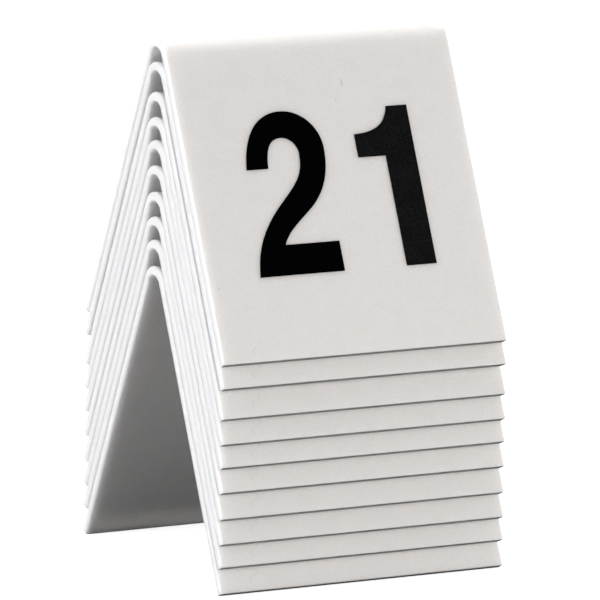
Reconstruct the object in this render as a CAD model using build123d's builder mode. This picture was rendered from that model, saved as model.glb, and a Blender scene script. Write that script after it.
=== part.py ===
"""Ten table number tents, 21 to 30, nested one over the other on the bottom tent.

Each tent is one strip of acrylic sheet bent once along its ridge, so that it stands on the
inner edges of its two feet. A two-figure number is printed on the outside of both legs.
The frame: X runs along the ridge, the fronts face -Y, Z is up and the origin is on the
table under the middle of the bottom tent. Millimetres and degrees.
"""
from build123d import *
from itertools import accumulate
from math import cos, radians, sin
import os

# One tent.
ridge_length = 50.0        # width of the sheet, along the fold
sheet_thickness = 1.5
lean = 25.5                # each leg, from upright
bend_inner_radius = 2.25
tent_height = 47.8         # from the table to the top of the fold

# The print on each leg.
print_thickness = 0.05
number_rise = 13.3         # from the foot to the bottom of the number, up the slope
figure_height = 26.0       # of a flat-topped figure, such as the 1
figure_gap = 1.8           # between the widest figures of a number

# The nest.
bottom_number = 30
nest_clearance = 0.04      # between a print and the sheet over it, where a tent sits lowest
# How much higher than that each tent sits on the next, from the top of the nest down.
nest_slacks = [0.1, 1.1, 0.3, 0.0, 0.3, 0.5, 0.3, 0.0, 0.5]

# Worked out from those.
bend_outer_radius = bend_inner_radius + sheet_thickness
bend_height = tent_height - bend_outer_radius
lean_sin = sin(radians(lean))
lean_cos = cos(radians(lean))
leg_length = (bend_height + bend_inner_radius * lean_sin) / lean_cos
lowest_nest_rise = (sheet_thickness + print_thickness + nest_clearance) / lean_sin
nest_rises = [lowest_nest_rise + slack for slack in reversed(nest_slacks)]
foot_heights = [0.0, *accumulate(nest_rises)]      # bottom tent first


def shoulder(radius):
    """Where the back leg leaves the bend, on a surface at this radius from the bend's axis."""
    return (radius * lean_cos, bend_height + radius * lean_sin)


def foot(radius):
    """Where the same surface ends at the cut foot."""
    across, up = shoulder(radius)
    return (across + leg_length * lean_sin, up - leg_length * lean_cos)


def leg_plane(foot_height, side):
    """Plane of a leg's outer face: middle of the foot, local Y up the slope. side -1 is the front."""
    across, up = foot(bend_outer_radius)
    return Plane(
        origin=(0, side * across, foot_height + up),
        x_dir=(-side, 0, 0),
        z_dir=(0, side * lean_cos, lean_sin),
    )


# The figures are drawn drawn_height tall, standing on local X, and scaled to figure_height.
drawn_height = 26.0
overshoot = 0.4            # how far a round figure passes its top and bottom lines
round_width = 15.2
upper_bowl_width = 14.4    # of the 3 and the 8
upper_bowl_height = 14.6
five_bowl_height = 17.2
six_bowl_height = 16.4
stem = 4.8                 # width of an upright stroke
bar = 4.3                  # height of a level stroke
flat_bar = 4.9             # the foot of the 2 and the heads of the 5 and the 7
hook_drop = 7.4            # from a figure's top or bottom line to the end of its hook
end_roundness = 0.49       # a bowl's corner radius, as a share of its shorter side

round_height = drawn_height + 2 * overshoot
lower_bowl_height = round_height + bar - upper_bowl_height
head = drawn_height - flat_bar


def block(width, height, middle, mode=Mode.ADD):
    """An upright block with round ends, its middle this far up."""
    with Locations((0, middle)):
        RectangleRounded(width, height, end_roundness * min(width, height), mode=mode)


def counter(width, height, middle):
    """The opening that leaves one stroke's thickness all round such a block."""
    block(width - 2 * stem, height - 2 * bar, middle, mode=Mode.SUBTRACT)


def two_bowls():
    """The two stacked rings that the 3 and the 8 share."""
    upper = (upper_bowl_width, upper_bowl_height, drawn_height + overshoot - upper_bowl_height / 2)
    lower = (round_width, lower_bowl_height, lower_bowl_height / 2 - overshoot)
    block(*upper)
    block(*lower)
    counter(*upper)
    counter(*lower)


def figure_0():
    with BuildSketch() as figure:
        block(round_width, round_height, drawn_height / 2)
        counter(round_width, round_height, drawn_height / 2)
    return figure.sketch


def figure_1():
    with BuildSketch() as figure:
        with BuildLine():
            Polyline((-3.5, 21.8), (-3.5, 18), (1.35, 18), (1.35, 0), (6.65, 0),
                     (6.65, drawn_height), (3, drawn_height))
            Bezier((3, drawn_height), (2.4, 23.3), (0.6, 21.9), (-3.5, 21.8))
        make_face()
    return figure.sketch


def figure_2():
    with BuildSketch() as figure:
        with BuildLine():
            top = drawn_height + overshoot
            Bezier((-6.3, 17.3), (-5.6, 23.2), (-2.9, top), (1.3, top))
            RadiusArc((1.3, top), (7.8, 20), 6.46)
            Bezier((7.8, 20), (7.8, 15.2), (5.8, 12.2), (3.3, 10.2))
            Bezier((3.3, 10.2), (0.8, 8.2), (-1.2, 6.8), (-2, flat_bar))
            Polyline((-2, flat_bar), (7.4, flat_bar), (7.4, 0), (-7.4, 0))
            Bezier((-7.4, 0), (-6.9, 4.6), (-5.2, 7.9), (-1.1, 11.8))
            Bezier((-1.1, 11.8), (1.9, 14.65), (3.3, 16), (3.3, 19.4))
            RadiusArc((3.3, 19.4), (0.6, 22.1), -2.7)
            Bezier((0.6, 22.1), (-1.6, 22.1), (-2.3, 20.2), (-2.5, 17.3))
            Line((-2.5, 17.3), (-6.3, 17.3))
        make_face()
    return figure.sketch


def figure_3():
    with BuildSketch() as figure:
        two_bowls()
        with Locations((-1.6 - round_width / 2, drawn_height / 2)):
            Rectangle(round_width, drawn_height - 2 * hook_drop, mode=Mode.SUBTRACT)
    return figure.sketch


def figure_4():
    with BuildSketch() as figure:
        with BuildLine():
            Polyline((1.3, 0), (6.1, 0), (6.1, 5.2), (8, 5.2), (8, 9.6), (6.1, 9.6),
                     (6.1, drawn_height), (0.6, drawn_height), (-7.9, 10), (-7.9, 5.2),
                     (1.3, 5.2), close=True)
        make_face()
        with BuildLine():
            Polyline((1.3, 9.6), (1.3, 18.4), (-3.5, 9.6), close=True)
        make_face(mode=Mode.SUBTRACT)
    return figure.sketch


def figure_5():
    with BuildSketch() as figure:
        bowl = (round_width, five_bowl_height, five_bowl_height / 2 - overshoot)
        block(*bowl)
        counter(*bowl)
        with Locations((-0.3, 12.2)):
            Rectangle(round_width, 12.2 - hook_drop, align=(Align.MAX, Align.MAX), mode=Mode.SUBTRACT)
        with BuildLine():
            Polyline((-6.6, drawn_height), (6.6, drawn_height), (6.6, head), (-2.4, head),
                     (-2.9, 15.2), (-3.4, 12.2), (-7.2, 12.2), close=True)
        make_face()
    return figure.sketch


def figure_6():
    with BuildSketch() as figure:
        bowl = (round_width, six_bowl_height, six_bowl_height / 2 - overshoot)
        block(round_width, round_height, drawn_height / 2)
        counter(round_width, round_height, drawn_height / 2)
        with Locations((0, drawn_height - hook_drop)):
            Rectangle(round_width, drawn_height - hook_drop, align=(Align.MIN, Align.MAX),
                      mode=Mode.SUBTRACT)
        block(*bowl)
        counter(*bowl)
    return figure.sketch


def figure_7():
    with BuildSketch() as figure:
        with BuildLine():
            Line((-4.2, 0), (1.2, 0))
            Bezier((1.2, 0), (1.6, 8.6), (4, 15.4), (7.4, head + 0.6))
            Polyline((7.4, head + 0.6), (7.4, drawn_height), (-7.2, drawn_height), (-7.2, head),
                     (1.7, head))
            Bezier((1.7, head), (-1.9, 15.8), (-3.9, 8.8), (-4.2, 0))
        make_face()
    return figure.sketch


def figure_8():
    with BuildSketch() as figure:
        two_bowls()
    return figure.sketch


def figure_9():
    with BuildSketch() as figure:
        with Locations((0, drawn_height)):
            add(figure_6(), rotation=180)
    return figure.sketch


draw_figure = [figure_0, figure_1, figure_2, figure_3, figure_4,
               figure_5, figure_6, figure_7, figure_8, figure_9]
figure_scale = figure_height / drawn_height
figure_pitch = round_width * figure_scale + figure_gap
figures = [scale(draw(), by=figure_scale) for draw in draw_figure]

os.makedirs("parts", exist_ok=True)

for place, foot_height in enumerate(foot_heights):
    number = bottom_number - place

    with BuildPart() as sheet:
        profile_plane = Plane(origin=(0, 0, foot_height), x_dir=(0, 1, 0), z_dir=(1, 0, 0))
        with BuildSketch(profile_plane):
            with BuildLine():
                ridge_top = (0, bend_height + bend_outer_radius)
                ridge_underside = (0, bend_height + bend_inner_radius)
                Line(ridge_underside, ridge_top)
                CenterArc((0, bend_height), bend_outer_radius, lean, 90 - lean)
                Polyline(shoulder(bend_outer_radius), foot(bend_outer_radius),
                         foot(bend_inner_radius), shoulder(bend_inner_radius))
                CenterArc((0, bend_height), bend_inner_radius, lean, 90 - lean)
            make_face()
            mirror(about=Plane.YZ)
        extrude(amount=ridge_length / 2, both=True)
    sheet.part.label = f"sheet_{number}"
    export_step(sheet.part, f"parts/sheet_{number}.step")

    for face_name, side in (("front", -1), ("back", 1)):
        with BuildPart() as print_film:
            with BuildSketch(leg_plane(foot_height, side)):
                with Locations((-figure_pitch / 2, number_rise)):
                    add(figures[number // 10])
                with Locations((figure_pitch / 2, number_rise)):
                    add(figures[number % 10])
            extrude(amount=print_thickness)
        print_film.part.label = f"{face_name}_number_{number}"
        export_step(print_film.part, f"parts/{face_name}_number_{number}.step")
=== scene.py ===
"""Looks for a nest of ten table number tents: acrylic sheets, printed figures and the stage."""
from math import pi, radians

import bpy
import numpy as np
from mathutils import Matrix, Vector


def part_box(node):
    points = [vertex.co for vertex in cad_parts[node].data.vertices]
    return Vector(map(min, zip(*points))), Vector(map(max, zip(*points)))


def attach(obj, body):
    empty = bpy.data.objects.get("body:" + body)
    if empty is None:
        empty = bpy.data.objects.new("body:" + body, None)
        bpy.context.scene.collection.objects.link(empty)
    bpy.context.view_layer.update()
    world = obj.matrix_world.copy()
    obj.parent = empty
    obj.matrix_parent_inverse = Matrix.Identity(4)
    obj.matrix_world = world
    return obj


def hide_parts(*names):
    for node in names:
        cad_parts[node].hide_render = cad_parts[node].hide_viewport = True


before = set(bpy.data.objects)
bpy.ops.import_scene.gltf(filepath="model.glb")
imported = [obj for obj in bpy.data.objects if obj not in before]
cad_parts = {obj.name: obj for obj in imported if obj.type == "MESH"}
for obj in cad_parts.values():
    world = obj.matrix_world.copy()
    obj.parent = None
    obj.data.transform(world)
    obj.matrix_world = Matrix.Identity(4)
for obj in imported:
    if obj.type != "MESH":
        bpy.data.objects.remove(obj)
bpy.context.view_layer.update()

bl_info = {
    "name": "Nested table number tents",
    "version": (1, 0, 0),
    "blender": (4, 5, 0),
    "location": "3D View > Sidebar > Number Tents",
    "description": "Bent acrylic number tents, their printed figures and a plain stage",
    "category": "Object",
}

MM = 0.001


# ---------------------------------------------------------------- settings

class SheetSettings(bpy.types.PropertyGroup):
    """Sizes and colour of one bent sheet."""
    thickness: bpy.props.FloatProperty(
        name="Thickness", description="Thickness of the acrylic sheet",
        default=1.5 * MM, min=0.5 * MM, unit="LENGTH", precision=5)
    lean: bpy.props.FloatProperty(
        name="Lean", description="Angle of each leg from upright",
        default=radians(25.5), subtype="ANGLE")
    bend_radius: bpy.props.FloatProperty(
        name="Bend radius", description="Radius on the inside of the fold",
        default=2.25 * MM, unit="LENGTH", precision=5)
    bend_ease: bpy.props.FloatProperty(
        name="Bend ease", description="Share of the fold in which it straightens into the legs",
        default=0.5, min=0.05, max=1.0, subtype="FACTOR")
    edge_radius: bpy.props.FloatProperty(
        name="Edge radius", description="Rounding of the polished cut ends",
        default=0.36 * MM, unit="LENGTH", precision=5)
    foot_radius: bpy.props.FloatProperty(
        name="Foot radius", description="Rounding of the sawn edges that stand on the table",
        default=0.16 * MM, unit="LENGTH", precision=5)
    flare: bpy.props.FloatProperty(
        name="Flare", description="How far the fold curls up at its two ends",
        default=0.3 * MM, unit="LENGTH", precision=5)
    flare_reach: bpy.props.FloatProperty(
        name="Flare reach", description="How far in from each end the curl starts",
        default=2.4 * MM, unit="LENGTH", precision=5)
    squeeze: bpy.props.FloatProperty(
        name="Squeeze", description="How far the inside of the fold bulges past the cut end",
        default=0.12 * MM, unit="LENGTH", precision=5)
    colour: bpy.props.FloatVectorProperty(
        name="Acrylic colour", description="Colour of the sheet",
        default=(0.845, 0.835, 0.825), size=3, subtype="COLOR", min=0, max=1)
    mark_depth: bpy.props.FloatProperty(
        name="Mark depth", description="How strongly hairlines and specks show",
        default=0.25, min=0, max=1, subtype="FACTOR")


class PrintSettings(bpy.types.PropertyGroup):
    """Colour of the printed figures."""
    colour: bpy.props.FloatVectorProperty(
        name="Ink colour", description="Colour of the ink",
        default=(0.0012, 0.0012, 0.0013), size=3, subtype="COLOR", min=0, max=1)


class StageSettings(bpy.types.PropertyGroup):
    """Floor and camera."""
    floor_size: bpy.props.FloatProperty(
        name="Floor size", description="Side of the square floor",
        default=6.0, unit="LENGTH")
    floor_colour: bpy.props.FloatVectorProperty(
        name="Floor colour", description="Colour of the floor",
        default=(0.9, 0.9, 0.9), size=3, subtype="COLOR", min=0, max=1)
    floor_glow: bpy.props.FloatProperty(
        name="Floor glow", description="How far the floor's shadows are lifted towards white",
        default=0.8, min=0)
    camera_distance: bpy.props.FloatProperty(
        name="Camera distance", description="From the camera to the point it looks at",
        default=1.3, unit="LENGTH")
    camera_turn: bpy.props.FloatProperty(
        name="Camera turn", description="How far round to the left of the front the camera stands",
        default=radians(27.39), subtype="ANGLE")
    camera_rise: bpy.props.FloatProperty(
        name="Camera rise", description="How far above level the camera stands",
        default=radians(11.19), subtype="ANGLE")
    camera_roll: bpy.props.FloatProperty(
        name="Camera roll", description="How far the camera is tipped about its own view",
        default=radians(0.84), subtype="ANGLE")
    focal_length: bpy.props.FloatProperty(
        name="Focal length", description="Lens, in millimetres on a 36 mm sensor",
        default=492.0, min=1.0)
    look_at: bpy.props.FloatVectorProperty(
        name="Look at", description="The point that the camera aims at",
        default=(0.91 * MM, -0.1 * MM, 40.7 * MM), size=3, subtype="TRANSLATION")


# ---------------------------------------------------------------- shared helpers

def smooth_step(low, high, value):
    """0 below low, 1 above high, and a cubic ease between them."""
    share = np.clip((value - low) / (high - low), 0, 1)
    return share * share * (3 - 2 * share)


def crowded(count):
    """count + 1 values from -1 to 1, crowded at both ends: the sine of evenly spaced angles."""
    return np.sin(np.linspace(-pi / 2, pi / 2, count + 1))


def new_piece(name, points, faces):
    """A mesh object at the origin with smooth faces, from points in metres in the shared frame."""
    mesh = bpy.data.meshes.new(name)
    mesh.from_pydata(points.tolist(), [], faces)
    mesh.polygons.foreach_set("use_smooth", np.ones(len(mesh.polygons), bool))
    mesh.update()
    piece = bpy.data.objects.new(name, mesh)
    bpy.context.scene.collection.objects.link(piece)
    return piece


def numbered(prefix):
    """The CAD nodes whose names start with prefix, with the number each one ends in."""
    return [(node, int(node[len(prefix):])) for node in sorted(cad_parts)
            if node.startswith(prefix)]


# ---------------------------------------------------------------- shader groups

def new_material(name):
    """A material with a Principled shader and its output; returns it, its tree and the shader."""
    material = bpy.data.materials.new(name)
    material.use_nodes = True
    tree = material.node_tree
    tree.nodes.clear()
    output = tree.nodes.new("ShaderNodeOutputMaterial")
    shader = tree.nodes.new("ShaderNodeBsdfPrincipled")
    tree.links.new(shader.outputs["BSDF"], output.inputs["Surface"])
    return material, tree, shader


def put(tree, kind, values=None, **settings):
    """A new node of a kind, with its settings and its input values."""
    node = tree.nodes.new(kind)
    for key, value in settings.items():
        setattr(node, key, value)
    for key, value in (values or {}).items():
        if isinstance(value, bpy.types.NodeSocket):
            tree.links.new(value, node.inputs[key])
        else:
            node.inputs[key].default_value = value
    return node


def maths(tree, operation, first, second=0.0, clamp=False):
    """The result of a Math node, held between 0 and 1 where clamp is set."""
    return put(tree, "ShaderNodeMath", {0: first, 1: second}, operation=operation,
               use_clamp=clamp).outputs[0]


def ramp(tree, value, low, high, start=0.0, end=1.0):
    """value from low to high, eased to start to end."""
    return put(tree, "ShaderNodeMapRange",
               {"Value": value, "From Min": low, "From Max": high, "To Min": start, "To Max": end},
               interpolation_type="SMOOTHSTEP").outputs["Result"]


def shaded(colour, share):
    """A share of a colour, as the four values that a colour socket takes."""
    return (*(share * part for part in colour), 1)


def mixed(tree, factor, first, second):
    """The colour that a factor mixes from two."""
    node = put(tree, "ShaderNodeMix", data_type="RGBA")
    for socket, value in ((0, factor), (6, first), (7, second)):
        if isinstance(value, bpy.types.NodeSocket):
            tree.links.new(value, node.inputs[socket])
        else:
            node.inputs[socket].default_value = value
    return node.outputs[2]


def new_group(name, inputs, outputs):
    """A shader node group from socket rows; returns it with its input and output nodes."""
    group = bpy.data.node_groups.new(name, "ShaderNodeTree")
    for label, kind, default in inputs:
        socket = group.interface.new_socket(label, in_out="INPUT", socket_type=kind)
        if default is not None:
            socket.default_value = default
    for label, kind in outputs:
        group.interface.new_socket(label, in_out="OUTPUT", socket_type=kind)
    return group, group.nodes.new("NodeGroupInput"), group.nodes.new("NodeGroupOutput")


BROAD_TIMES = 14.0         # how much coarser the broad unevenness is than the grain
BROAD_SHARE = 0.15         # of the tone


def satin_grain_group():
    """Fine grain of a satin surface: a height, and a tone that varies around 0.5."""
    group, entry, leave = new_group(
        "Satin grain",
        [("Vector", "NodeSocketVector", None), ("Grain Size", "NodeSocketFloat", 0.25 * MM)],
        [("Height", "NodeSocketFloat"), ("Tone", "NodeSocketFloat")])
    fineness = maths(group, "DIVIDE", 1.0, entry.outputs["Grain Size"])
    fine = put(group, "ShaderNodeTexNoise",
               {"Vector": entry.outputs["Vector"], "Scale": fineness, "Detail": 3.0,
                "Roughness": 0.6})
    broad = put(group, "ShaderNodeTexNoise",
                {"Vector": entry.outputs["Vector"],
                 "Scale": maths(group, "DIVIDE", fineness, BROAD_TIMES),
                 "Detail": 2.0, "Roughness": 0.5})
    tone = maths(group, "ADD", maths(group, "MULTIPLY", fine.outputs["Fac"], 1 - BROAD_SHARE),
                 maths(group, "MULTIPLY", broad.outputs["Fac"], BROAD_SHARE))
    group.links.new(fine.outputs["Fac"], leave.inputs["Height"])
    group.links.new(tone, leave.inputs["Tone"])
    return group


def hairline_group():
    """A curly hairline that runs along the sheet: 1 on the line and 0 off it.

    The line swings from side to side of its middle as a sine of the distance along it, and
    fades out at its two ends. The mask falls off with the distance across from the line.
    """
    group, entry, leave = new_group(
        "Hairline mark",
        [("Across", "NodeSocketFloat", 0.0), ("Along", "NodeSocketFloat", 0.0),
         ("Middle Across", "NodeSocketFloat", 0.0), ("Middle Along", "NodeSocketFloat", 0.0),
         ("Length", "NodeSocketFloat", 2.3 * MM), ("Swing", "NodeSocketFloat", 0.5 * MM),
         ("Waves", "NodeSocketFloat", 1.0), ("Width", "NodeSocketFloat", 0.12 * MM)],
        [("Mask", "NodeSocketFloat")])
    across = maths(group, "SUBTRACT", entry.outputs["Across"], entry.outputs["Middle Across"])
    along = maths(group, "DIVIDE", maths(group, "SUBTRACT", entry.outputs["Along"],
                                         entry.outputs["Middle Along"]), entry.outputs["Length"])
    phase = maths(group, "MULTIPLY", maths(group, "MULTIPLY", along, 2 * pi),
                  entry.outputs["Waves"])
    line = maths(group, "MULTIPLY", maths(group, "SINE", phase), entry.outputs["Swing"])
    off_line = maths(group, "ABSOLUTE", maths(group, "SUBTRACT", across, line))
    near = maths(group, "SUBTRACT", 1.0, maths(group, "DIVIDE", off_line, entry.outputs["Width"]),
                 clamp=True)
    within = ramp(group, maths(group, "ABSOLUTE", along), 0.4, 0.5, 1.0, 0.0)
    group.links.new(maths(group, "MULTIPLY", near, within), leave.inputs["Mask"])
    return group


def speck_group():
    """A small soft oval speck: 1 in its middle and 0 beyond its two radii."""
    group, entry, leave = new_group(
        "Speck",
        [("Across", "NodeSocketFloat", 0.0), ("Along", "NodeSocketFloat", 0.0),
         ("Middle Across", "NodeSocketFloat", 0.0), ("Middle Along", "NodeSocketFloat", 0.0),
         ("Radius Across", "NodeSocketFloat", 0.2 * MM),
         ("Radius Along", "NodeSocketFloat", 0.3 * MM)],
        [("Mask", "NodeSocketFloat")])
    squares = []
    for axis in ("Across", "Along"):
        off = maths(group, "DIVIDE", maths(group, "SUBTRACT", entry.outputs[axis],
                                           entry.outputs["Middle " + axis]),
                    entry.outputs["Radius " + axis])
        squares.append(maths(group, "MULTIPLY", off, off))
    left = maths(group, "SUBTRACT", 1.0, maths(group, "ADD", *squares), clamp=True)
    group.links.new(left, leave.inputs["Mask"])
    return group


# ---------------------------------------------------------------- bent sheets

# How many steps the mesh takes.
LEG_STEPS = 14             # down the straight part of a leg
BEND_STEPS = 28            # from the top of the fold to a leg
FINE_STEPS = 40            # summed within each step of the fold
ROUND_STEPS = 6            # round each rounded edge
WIDTH_STEPS = 48           # across the sheet

CURL_FALL = 1.5            # how fast the flare dies away from the fold's ends, as a power


def eased_bend(settings):
    """Half of the fold's middle surface, from its top down to where a leg starts.

    Its turning rate is steady over the middle, and falls off as the square of what is left of
    the last bend_ease of the half length. The half has the same turn and the same top as a
    plain arc between the same two legs: it is worked out for a half length of 1 and scaled
    until its top is as far below the point where the legs would meet. Returns each place
    (back, down) from the top, its direction as an angle below level, and its turning rate as
    a share of the greatest.
    """
    turn = pi / 2 - settings.lean
    walk = np.linspace(0, 1, FINE_STEPS * BEND_STEPS + 1)
    rate = np.clip((1 - walk) / settings.bend_ease, 0, 1) ** 2
    swept = np.concatenate([[0], np.cumsum((rate[1:] + rate[:-1]) / 2)])
    angle = swept / swept[-1] * turn
    half_angle = (angle[1:] + angle[:-1]) / 2
    step = walk[1]
    back = np.concatenate([[0], np.cumsum(np.cos(half_angle))]) * step
    down = np.concatenate([[0], np.cumsum(np.sin(half_angle))]) * step
    # Where the leg's line, carried on upwards, crosses the plane of symmetry.
    meeting = back[-1] / np.tan(settings.lean) - down[-1]
    plain_radius = settings.bend_radius + settings.thickness / 2
    scale = plain_radius * (1 / np.sin(settings.lean) - 1) / meeting
    kept = slice(None, None, FINE_STEPS)
    return back[kept] * scale, down[kept] * scale, angle[kept], rate[kept]


def sheet_path(settings, foot_height, ridge_height):
    """The sheet's middle surface from the front foot over the fold to the back foot.

    Each station has a place (y, z), an outward normal, how far the rounded foot draws the
    section in, the length walked from the front foot, and how tightly the sheet turns there,
    from 0 in the legs to 1 at the top of the fold.
    """
    half = settings.thickness / 2
    edge = settings.foot_radius
    lean_sin, lean_cos = np.sin(settings.lean), np.cos(settings.lean)
    bend_y, bend_down, bend_angle, bend_rate = eased_bend(settings)
    bend_z = ridge_height - half - bend_down
    # The sawn foot is square to the leg, so its inner edge is what stands on the table. The
    # rounding of that edge takes away a little of its reach, which the leg's length makes up.
    rounded_off = edge * (lean_sin + lean_cos - 1)
    leg = (bend_z[-1] - foot_height - half * lean_sin + rounded_off) / lean_cos

    down = (1 - crowded(LEG_STEPS)) / 2 * (leg - edge)
    turn = np.linspace(0, pi / 2, ROUND_STEPS + 1)[::-1]
    foot_down = leg - edge + edge * np.sin(turn)
    foot_inset = edge * (1 - np.cos(turn))

    # One leg from its foot upwards; the back leg is its mirror image.
    down_leg = np.concatenate([foot_down[:-1], down])
    inset_leg = np.concatenate([foot_inset[:-1], np.zeros(len(down))])
    leg_y = bend_y[-1] + down_leg * lean_sin
    leg_z = bend_z[-1] - down_leg * lean_cos
    side_y = np.concatenate([leg_y, bend_y[-2::-1]])
    side_z = np.concatenate([leg_z, bend_z[-2::-1]])
    side_tilt = np.concatenate([np.full(len(leg_y), pi / 2 - settings.lean), bend_angle[-2::-1]])
    side_inset = np.concatenate([inset_leg, np.zeros(len(bend_y) - 1)])
    side_rate = np.concatenate([np.zeros(len(leg_y)), bend_rate[-2::-1]])

    y = np.concatenate([-side_y, side_y[-2::-1]])
    z = np.concatenate([side_z, side_z[-2::-1]])
    tilt = np.concatenate([-side_tilt, side_tilt[-2::-1]])
    normal = np.stack([np.sin(tilt), np.cos(tilt)], 1)
    inset = np.concatenate([side_inset, side_inset[-2::-1]])
    rate = np.concatenate([side_rate, side_rate[-2::-1]])
    walked = np.concatenate([[0], np.cumsum(np.hypot(np.diff(y), np.diff(z)))])
    return np.stack([y, z], 1), normal, inset, walked, rate


def sheet_section(settings, half_width):
    """The sheet's rounded section as a closed loop of places across it and out from its middle.

    It starts at the middle of the left cut end, goes over the outer face to the right end and
    comes back under the inner face, so that loop point k and loop point -k face each other.
    """
    half = settings.thickness / 2
    edge = settings.edge_radius
    flat = half - edge
    corner = np.linspace(0, pi / 2, ROUND_STEPS + 1)
    face = crowded(WIDTH_STEPS) * (half_width - edge)
    left_x = -half_width + edge - edge * np.cos(corner)
    left_out = flat + edge * np.sin(corner)
    x = np.concatenate([[-half_width], left_x, face[1:-1], -left_x[::-1], [half_width]])
    out = np.concatenate([[0], left_out, np.full(len(face) - 2, half), left_out[::-1], [0]])
    loop_x = np.concatenate([x, x[-2:0:-1]])
    loop_out = np.concatenate([out, -out[-2:0:-1]])
    return loop_x, loop_out


def bent_sheet(name, settings, low, high):
    """One tent: the rounded section carried along the path from foot to foot.

    Every point is path + normal * out + X * across. At a foot both out and across shrink
    towards the section's core by the path's inset, which rounds the foot's four edges. Near
    the two cut ends of the fold the point moves out along the normal by the flare, and across
    by the squeeze in proportion to how far it is inside the middle surface.
    """
    half_width = (high.x - low.x) / 2
    half = settings.thickness / 2
    place, normal, inset, walked, turning = sheet_path(settings, low.z, high.z)
    loop_x, loop_out = sheet_section(settings, half_width)

    # The foot's rounding draws every section point in by the same inset on both axes.
    across = loop_x - np.sign(loop_x) * np.minimum(inset[:, None], np.abs(loop_x))
    out = loop_out - np.sign(loop_out) * np.minimum(inset[:, None], np.abs(loop_out))

    from_end = half_width - np.abs(across)
    curl = (1 - smooth_step(0, settings.flare_reach, from_end)) * turning[:, None]
    across = across - np.sign(across) * settings.squeeze * curl * out / half
    out = out + settings.flare * curl ** CURL_FALL

    rows, loop = across.shape
    points = np.empty((rows, loop, 3))
    points[..., 0] = across + (low.x + high.x) / 2
    points[..., 1] = place[:, :1] + normal[:, :1] * out
    points[..., 2] = place[:, 1:] + normal[:, 1:] * out

    index = np.arange(rows * loop).reshape(rows, loop)
    here, along = index[:-1], index[1:]
    quads = np.stack([here, np.roll(here, -1, 1), np.roll(along, -1, 1), along], -1).reshape(-1, 4)
    # Each foot is closed by rungs between facing loop points, and a triangle at either end.
    k = np.arange(1, loop // 2 - 1)
    caps = []
    for ring, flip in ((index[0], -1), (index[-1], 1)):
        ladder = np.stack([ring[k], ring[k + 1], ring[-k - 1], ring[-k]], -1)[:, ::flip]
        middle = loop // 2
        tips = np.array([[ring[0], ring[1], ring[-1]],
                         [ring[middle - 1], ring[middle], ring[middle + 1]]])[:, ::flip]
        caps += ladder.tolist() + tips.tolist()
    piece = new_piece(name, points.reshape(-1, 3), quads.tolist() + caps)

    # Across the sheet and along it, in metres from the front foot, for marks that follow the sheet.
    walk = np.repeat(walked[:, None], loop, 1)
    layout = np.stack([across, walk], -1).reshape(-1, 2)
    corners = np.empty(len(piece.data.loops), np.int32)
    piece.data.loops.foreach_get("vertex_index", corners)
    uv = piece.data.uv_layers.new(name="sheet")
    uv.data.foreach_set("uv", layout[corners].ravel())

    # How far each point is round the edge onto a cut end, and round the edge onto a sawn foot.
    edge = settings.edge_radius
    end_share = np.clip((np.abs(loop_x) - half_width + edge) / edge, 0, 1)[None, :]
    foot_share = inset[:, None] / settings.foot_radius
    for label, share in (("cut end", end_share), ("sawn foot", foot_share)):
        held = piece.data.attributes.new(label, "FLOAT", "POINT")
        values = np.broadcast_to(share, across.shape).astype(np.float32)
        held.data.foreach_set("value", values.ravel())
    return piece


# Curly hairlines as (middle across, middle along, length, swing, waves) and specks as
# (middle across, middle along, radius across, radius along), in millimetres, along being
# measured up the sheet from the front foot.
HAIRLINES = ((-18.8, 2.5, 2.6, 0.8, 1.0), (19.2, 38.4, 0.9, 0.9, 0.42))
SPECKS = ((3.0, 40.9, 0.16, 0.42), (-23.4, 12.2, 0.22, 0.3), (4.6, 43.6, 0.25, 0.9))


def marks_mask(tree, across, along):
    """All the hairlines and specks of one sheet as one mask."""
    hairline, speck = hairline_group(), speck_group()
    mask = None
    for group, labels, rows in (
            (hairline, ("Middle Across", "Middle Along", "Length", "Swing", "Waves"), HAIRLINES),
            (speck, ("Middle Across", "Middle Along", "Radius Across", "Radius Along"), SPECKS)):
        for row in rows:
            values = {label: value if label == "Waves" else value * MM
                      for label, value in zip(labels, row)}
            one = put(tree, "ShaderNodeGroup", {"Across": across, "Along": along, **values},
                      node_tree=group).outputs["Mask"]
            mask = one if mask is None else maths(tree, "MAXIMUM", mask, one)
    return mask


# Finish of the acrylic, with painted shade on the sawn feet. Tones vary around 0.5, and each pair
# is where a ramp starts and ends.
ACRYLIC_GRAIN = 0.2 * MM
ACRYLIC_TONES = (0.38, 0.62)
DARK_GRAIN, LIGHT_GRAIN = 0.95, 1.03       # shares of the sheet's colour
SCORED, PAINTED_FOOT_SHADE = 0.3, 0.22                   # the same, for a full mark, and painted shade for the down-facing sawn foot
FOOT_SHADE_RAMP = (0.25, 0.95)                # share of the way round the edge onto the foot, over which the painted shade comes in
ROUGH_TONES = (0.3, 0.7)
ACRYLIC_ROUGHNESS = (0.4, 0.5)
POLISH, SAW_ROUGHNESS = 0.12, 0.35         # off and onto the roughness, at an end and at a foot
MARK_HEIGHT = 0.6                          # of a mark against the grain
ACRYLIC_BUMP, ACRYLIC_BUMP_HEIGHT = 0.3, 0.02 * MM
ACRYLIC_IOR = 1.49
SCATTER_LENGTH = 1.9 * MM                  # how far light spreads inside the sheet


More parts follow.
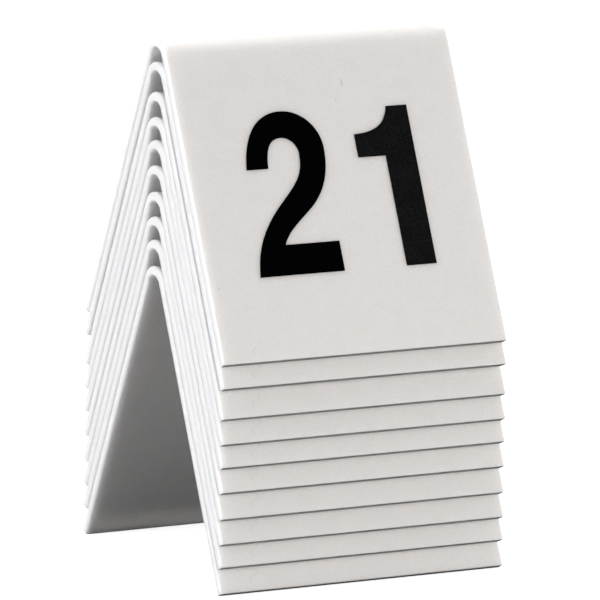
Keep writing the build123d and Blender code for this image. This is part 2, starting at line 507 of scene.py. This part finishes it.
def acrylic_material(settings, grain):
    """Satin white acrylic: fine grain, a few hairlines, cloudy polished ends, and rougher sawn feet
    painted dark as painted shade.
    """
    material, tree, shader = new_material("white acrylic")
    place = put(tree, "ShaderNodeTexCoord").outputs["Object"]
    end = put(tree, "ShaderNodeAttribute", attribute_name="cut end").outputs["Fac"]
    foot = put(tree, "ShaderNodeAttribute", attribute_name="sawn foot").outputs["Fac"]
    layout = put(tree, "ShaderNodeSeparateXYZ", {
        "Vector": put(tree, "ShaderNodeUVMap", uv_map="sheet").outputs["UV"]})
    marks = marks_mask(tree, layout.outputs["X"], layout.outputs["Y"])
    satin = put(tree, "ShaderNodeGroup", {"Vector": place, "Grain Size": ACRYLIC_GRAIN},
                node_tree=grain)
    tone = satin.outputs["Tone"]

    colour = settings.colour
    grained = mixed(tree, ramp(tree, tone, *ACRYLIC_TONES),
                    shaded(colour, DARK_GRAIN), shaded(colour, LIGHT_GRAIN))
    faced = mixed(tree, end, grained, shaded(colour, 1.0))
    marked = mixed(tree, maths(tree, "MULTIPLY", marks, settings.mark_depth), faced,
                   shaded(colour, SCORED))
    # The sawn feet face down and away from the lights, so their colour is darkened: painted shade.
    with_foot_shade = mixed(tree, ramp(tree, foot, *FOOT_SHADE_RAMP), marked, shaded(colour, PAINTED_FOOT_SHADE))
    tree.links.new(with_foot_shade, shader.inputs["Base Color"])

    rough = ramp(tree, tone, *ROUGH_TONES, *ACRYLIC_ROUGHNESS)
    polished = maths(tree, "SUBTRACT", rough, maths(tree, "MULTIPLY", end, POLISH))
    tree.links.new(maths(tree, "ADD", polished, maths(tree, "MULTIPLY", foot, SAW_ROUGHNESS)),
                   shader.inputs["Roughness"])
    height = maths(tree, "SUBTRACT", satin.outputs["Height"],
                   maths(tree, "MULTIPLY", marks, MARK_HEIGHT))
    bump = put(tree, "ShaderNodeBump", {"Height": height, "Strength": ACRYLIC_BUMP,
                                        "Distance": ACRYLIC_BUMP_HEIGHT})
    tree.links.new(bump.outputs["Normal"], shader.inputs["Normal"])
    shader.inputs["IOR"].default_value = ACRYLIC_IOR
    shader.inputs["Subsurface Weight"].default_value = 1.0
    shader.inputs["Subsurface Radius"].default_value = (1.0, 1.0, 1.0)
    shader.inputs["Subsurface Scale"].default_value = SCATTER_LENGTH
    return material


class NUMBERTENTS_OT_sheets(bpy.types.Operator):
    """Build the bent acrylic sheet of every tent"""
    bl_idname = "number_tents.sheets"
    bl_label = "Bent sheets"

    def execute(self, context):
        settings = context.scene.tent_sheets
        material = acrylic_material(settings, satin_grain_group())
        for node, number in numbered("sheet_"):
            low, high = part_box(node)
            piece = bent_sheet(f"bent_sheet_{number}", settings, low, high)
            piece.data.materials.append(material)
            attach(piece, f"tent_{number}")
            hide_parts(node)
        return {"FINISHED"}


# ---------------------------------------------------------------- printed figures

# Finish of the ink. The ones figure's grain is painted lighter, partly as painted sheen.
INK_GRAIN = 0.24 * MM
INK_TONES = (0.42, 0.66)
LIGHTER_GRAIN_AND_SHEEN = 9.0                                 # times the ink's colour, at the light grains of the ones figure: partly its grain, partly painted sheen
INK_ROUGHNESS = (0.52, 0.68)
INK_SHEEN = 0.045
INK_BUMP, INK_BUMP_HEIGHT = 0.35, 0.03 * MM
INK_IOR = 1.45
BETWEEN_FIGURES = 0.5 * MM                 # either side of the middle, inside the gap


def ink_material(settings):
    """Flat black ink: the tens figure dense, the ones figure grained and faintly shiny, with its
    grain painted lighter, partly as painted sheen.
    """
    material, tree, shader = new_material("black ink")
    place = put(tree, "ShaderNodeTexCoord").outputs["Object"]
    satin = put(tree, "ShaderNodeGroup", {"Vector": place, "Grain Size": INK_GRAIN},
                node_tree=bpy.data.node_groups["Satin grain"])
    tone = satin.outputs["Tone"]

    # The front prints lie at negative Y and the back ones at positive Y, so the product of X
    # and the sign of Y is positive on the left-hand figure of either side.
    spot = put(tree, "ShaderNodeSeparateXYZ", {"Vector": place})
    side = maths(tree, "SIGN", spot.outputs["Y"])
    leftward = maths(tree, "MULTIPLY", spot.outputs["X"], side)
    # 1 on the right-hand figure of either side, the ones figure: its grain is painted lighter,
    # partly as painted sheen, and its specular gives it a real sheen.
    sheen_figure = ramp(tree, leftward, -BETWEEN_FIGURES, BETWEEN_FIGURES, 1.0, 0.0)

    dense = shaded(settings.colour, 1.0)
    grained = mixed(tree, ramp(tree, tone, *INK_TONES), dense, shaded(settings.colour, LIGHTER_GRAIN_AND_SHEEN))
    tree.links.new(mixed(tree, sheen_figure, dense, grained), shader.inputs["Base Color"])
    tree.links.new(maths(tree, "MULTIPLY", sheen_figure, INK_SHEEN), shader.inputs["Specular IOR Level"])
    tree.links.new(ramp(tree, tone, *ROUGH_TONES, *INK_ROUGHNESS), shader.inputs["Roughness"])
    bump = put(tree, "ShaderNodeBump", {"Height": satin.outputs["Height"], "Strength": INK_BUMP,
                                        "Distance": INK_BUMP_HEIGHT})
    tree.links.new(bump.outputs["Normal"], shader.inputs["Normal"])
    shader.inputs["IOR"].default_value = INK_IOR
    return material


class NUMBERTENTS_OT_prints(bpy.types.Operator):
    """Give the printed figures their ink"""
    bl_idname = "number_tents.prints"
    bl_label = "Printed figures"

    def execute(self, context):
        material = ink_material(context.scene.tent_prints)
        for prefix in ("front_number_", "back_number_"):
            for node, _ in numbered(prefix):
                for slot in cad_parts[node].material_slots:
                    slot.material = material
        return {"FINISHED"}


# ---------------------------------------------------------------- stage

# Square lights as (name, place, side, watts, colour), all turned to the point the camera aims at.
LIGHTS = (
    ("left soft light", (-1.0, 0.16, 0.24), 0.5, 11.1, (0.965, 0.97, 1.0)),
    ("right soft light", (1.0, 0.1, 0.24), 0.5, 4.5, (1.0, 1.0, 1.0)),
    ("top soft light", (0.0, 0.42, 0.98), 0.35, 9.2, (1.0, 1.0, 0.985)),
    ("front soft light", (0.5, -1.4, 0.46), 0.8, 15.6, (1.0, 0.965, 0.94)),
    ("back soft light", (-0.1, 1.4, 0.35), 0.8, 1.0, (1.0, 0.985, 0.97)),
)
ROOM_SEEN, ROOM_LIGHT = 1.0, 0.15          # strength of the surrounding to the eye, and as a light
DIM_FLOOR = 0.23                           # share of the floor's colour that lights the sheets
SENSOR_WIDTH = 36                          # mm
FARTHEST_SEEN = 20                         # m


def soft_light(name, place, aim, size, watts, colour):
    """A square area light at a place, turned to face a point."""
    lamp = bpy.data.lights.new(name, "AREA")
    lamp.shape = "SQUARE"
    lamp.size = size
    lamp.energy = watts
    lamp.color = colour
    light = bpy.data.objects.new(name, lamp)
    light.location = place
    light.rotation_euler = (Vector(aim) - Vector(place)).to_track_quat("-Z", "Y").to_euler()
    bpy.context.scene.collection.objects.link(light)


def pale_floor(settings):
    """A pale floor at table height, which glows to the eye and is dim as a light."""
    half = settings.floor_size / 2
    points = np.array([(-half, -half, 0), (half, -half, 0), (half, half, 0), (-half, half, 0)],
                      float)
    floor = new_piece("floor", points, [(0, 1, 2, 3)])
    material, tree, shader = new_material("pale floor")
    seen = tree.nodes.new("ShaderNodeLightPath").outputs["Is Camera Ray"]
    dim, full = (shaded(settings.floor_colour, share) for share in (DIM_FLOOR, 1.0))
    dark, glow = (shaded((1, 1, 1), share) for share in (0.0, settings.floor_glow))
    tree.links.new(mixed(tree, seen, dim, full), shader.inputs["Base Color"])
    tree.links.new(mixed(tree, seen, dark, glow), shader.inputs["Emission Color"])
    shader.inputs["Emission Strength"].default_value = 1.0
    shader.inputs["Roughness"].default_value = 0.9
    shader.inputs["Specular IOR Level"].default_value = 0.1
    floor.data.materials.append(material)


def bright_room():
    """A white surrounding, brighter to the eye than as a light."""
    world = bpy.data.worlds.new("bright room")
    world.use_nodes = True
    tree = world.node_tree
    tree.nodes.clear()
    output = tree.nodes.new("ShaderNodeOutputWorld")
    seen, lit = (put(tree, "ShaderNodeBackground", {"Color": (1, 1, 1, 1), "Strength": strength})
                 for strength in (ROOM_SEEN, ROOM_LIGHT))
    path = tree.nodes.new("ShaderNodeLightPath")
    mix = put(tree, "ShaderNodeMixShader", {0: path.outputs["Is Camera Ray"],
                                            1: lit.outputs[0], 2: seen.outputs[0]})
    tree.links.new(mix.outputs[0], output.inputs["Surface"])
    bpy.context.scene.world = world


def aimed_camera(settings):
    """A long lens that looks at a point from a turn round to its left and a rise above level."""
    turn, rise = settings.camera_turn, settings.camera_rise
    target = Vector(settings.look_at)
    away = Vector((-np.sin(turn) * np.cos(rise), -np.cos(turn) * np.cos(rise), np.sin(rise)))
    lens = bpy.data.cameras.new("camera")
    lens.sensor_width = SENSOR_WIDTH
    lens.lens = settings.focal_length
    lens.clip_end = FARTHEST_SEEN
    camera = bpy.data.objects.new("camera", lens)
    facing = (-away).to_track_quat("-Z", "Y").to_matrix().to_4x4()
    camera.matrix_world = (Matrix.Translation(target + away * settings.camera_distance)
                           @ facing @ Matrix.Rotation(settings.camera_roll, 4, "Z"))
    bpy.context.scene.collection.objects.link(camera)
    bpy.context.scene.camera = camera


class NUMBERTENTS_OT_stage(bpy.types.Operator):
    """Set out the floor, the soft lights and the camera"""
    bl_idname = "number_tents.stage"
    bl_label = "Stage"

    def execute(self, context):
        settings = context.scene.tent_stage
        pale_floor(settings)
        for name, place, size, watts, colour in LIGHTS:
            soft_light(name, place, settings.look_at, size, watts, colour)
        bright_room()
        aimed_camera(settings)
        context.scene.view_settings.view_transform = "Standard"
        return {"FINISHED"}


# ---------------------------------------------------------------- panel and registration

class NUMBERTENTS_PT_panel(bpy.types.Panel):
    """Settings and build buttons in the sidebar."""
    bl_idname = "NUMBERTENTS_PT_panel"
    bl_label = "Number Tents"
    bl_space_type = "VIEW_3D"
    bl_region_type = "UI"
    bl_category = "Number Tents"

    def draw(self, context):
        layout = self.layout
        for label, settings, operator in (
                ("Sheets", context.scene.tent_sheets, NUMBERTENTS_OT_sheets),
                ("Figures", context.scene.tent_prints, NUMBERTENTS_OT_prints),
                ("Stage", context.scene.tent_stage, NUMBERTENTS_OT_stage)):
            box = layout.box()
            box.label(text=label)
            for name in settings.__annotations__:
                box.prop(settings, name)
            box.operator(operator.bl_idname)


classes = (SheetSettings, PrintSettings, StageSettings, NUMBERTENTS_OT_sheets,
           NUMBERTENTS_OT_prints, NUMBERTENTS_OT_stage, NUMBERTENTS_PT_panel)


def register():
    for each in classes:
        bpy.utils.register_class(each)
    bpy.types.Scene.tent_sheets = bpy.props.PointerProperty(type=SheetSettings)
    bpy.types.Scene.tent_prints = bpy.props.PointerProperty(type=PrintSettings)
    bpy.types.Scene.tent_stage = bpy.props.PointerProperty(type=StageSettings)


def unregister():
    del bpy.types.Scene.tent_stage
    del bpy.types.Scene.tent_prints
    del bpy.types.Scene.tent_sheets
    for each in reversed(classes):
        bpy.utils.unregister_class(each)


def main():
    register()
    bpy.ops.number_tents.sheets()
    bpy.ops.number_tents.prints()
    bpy.ops.number_tents.stage()


if __name__ == "__main__":
    main()
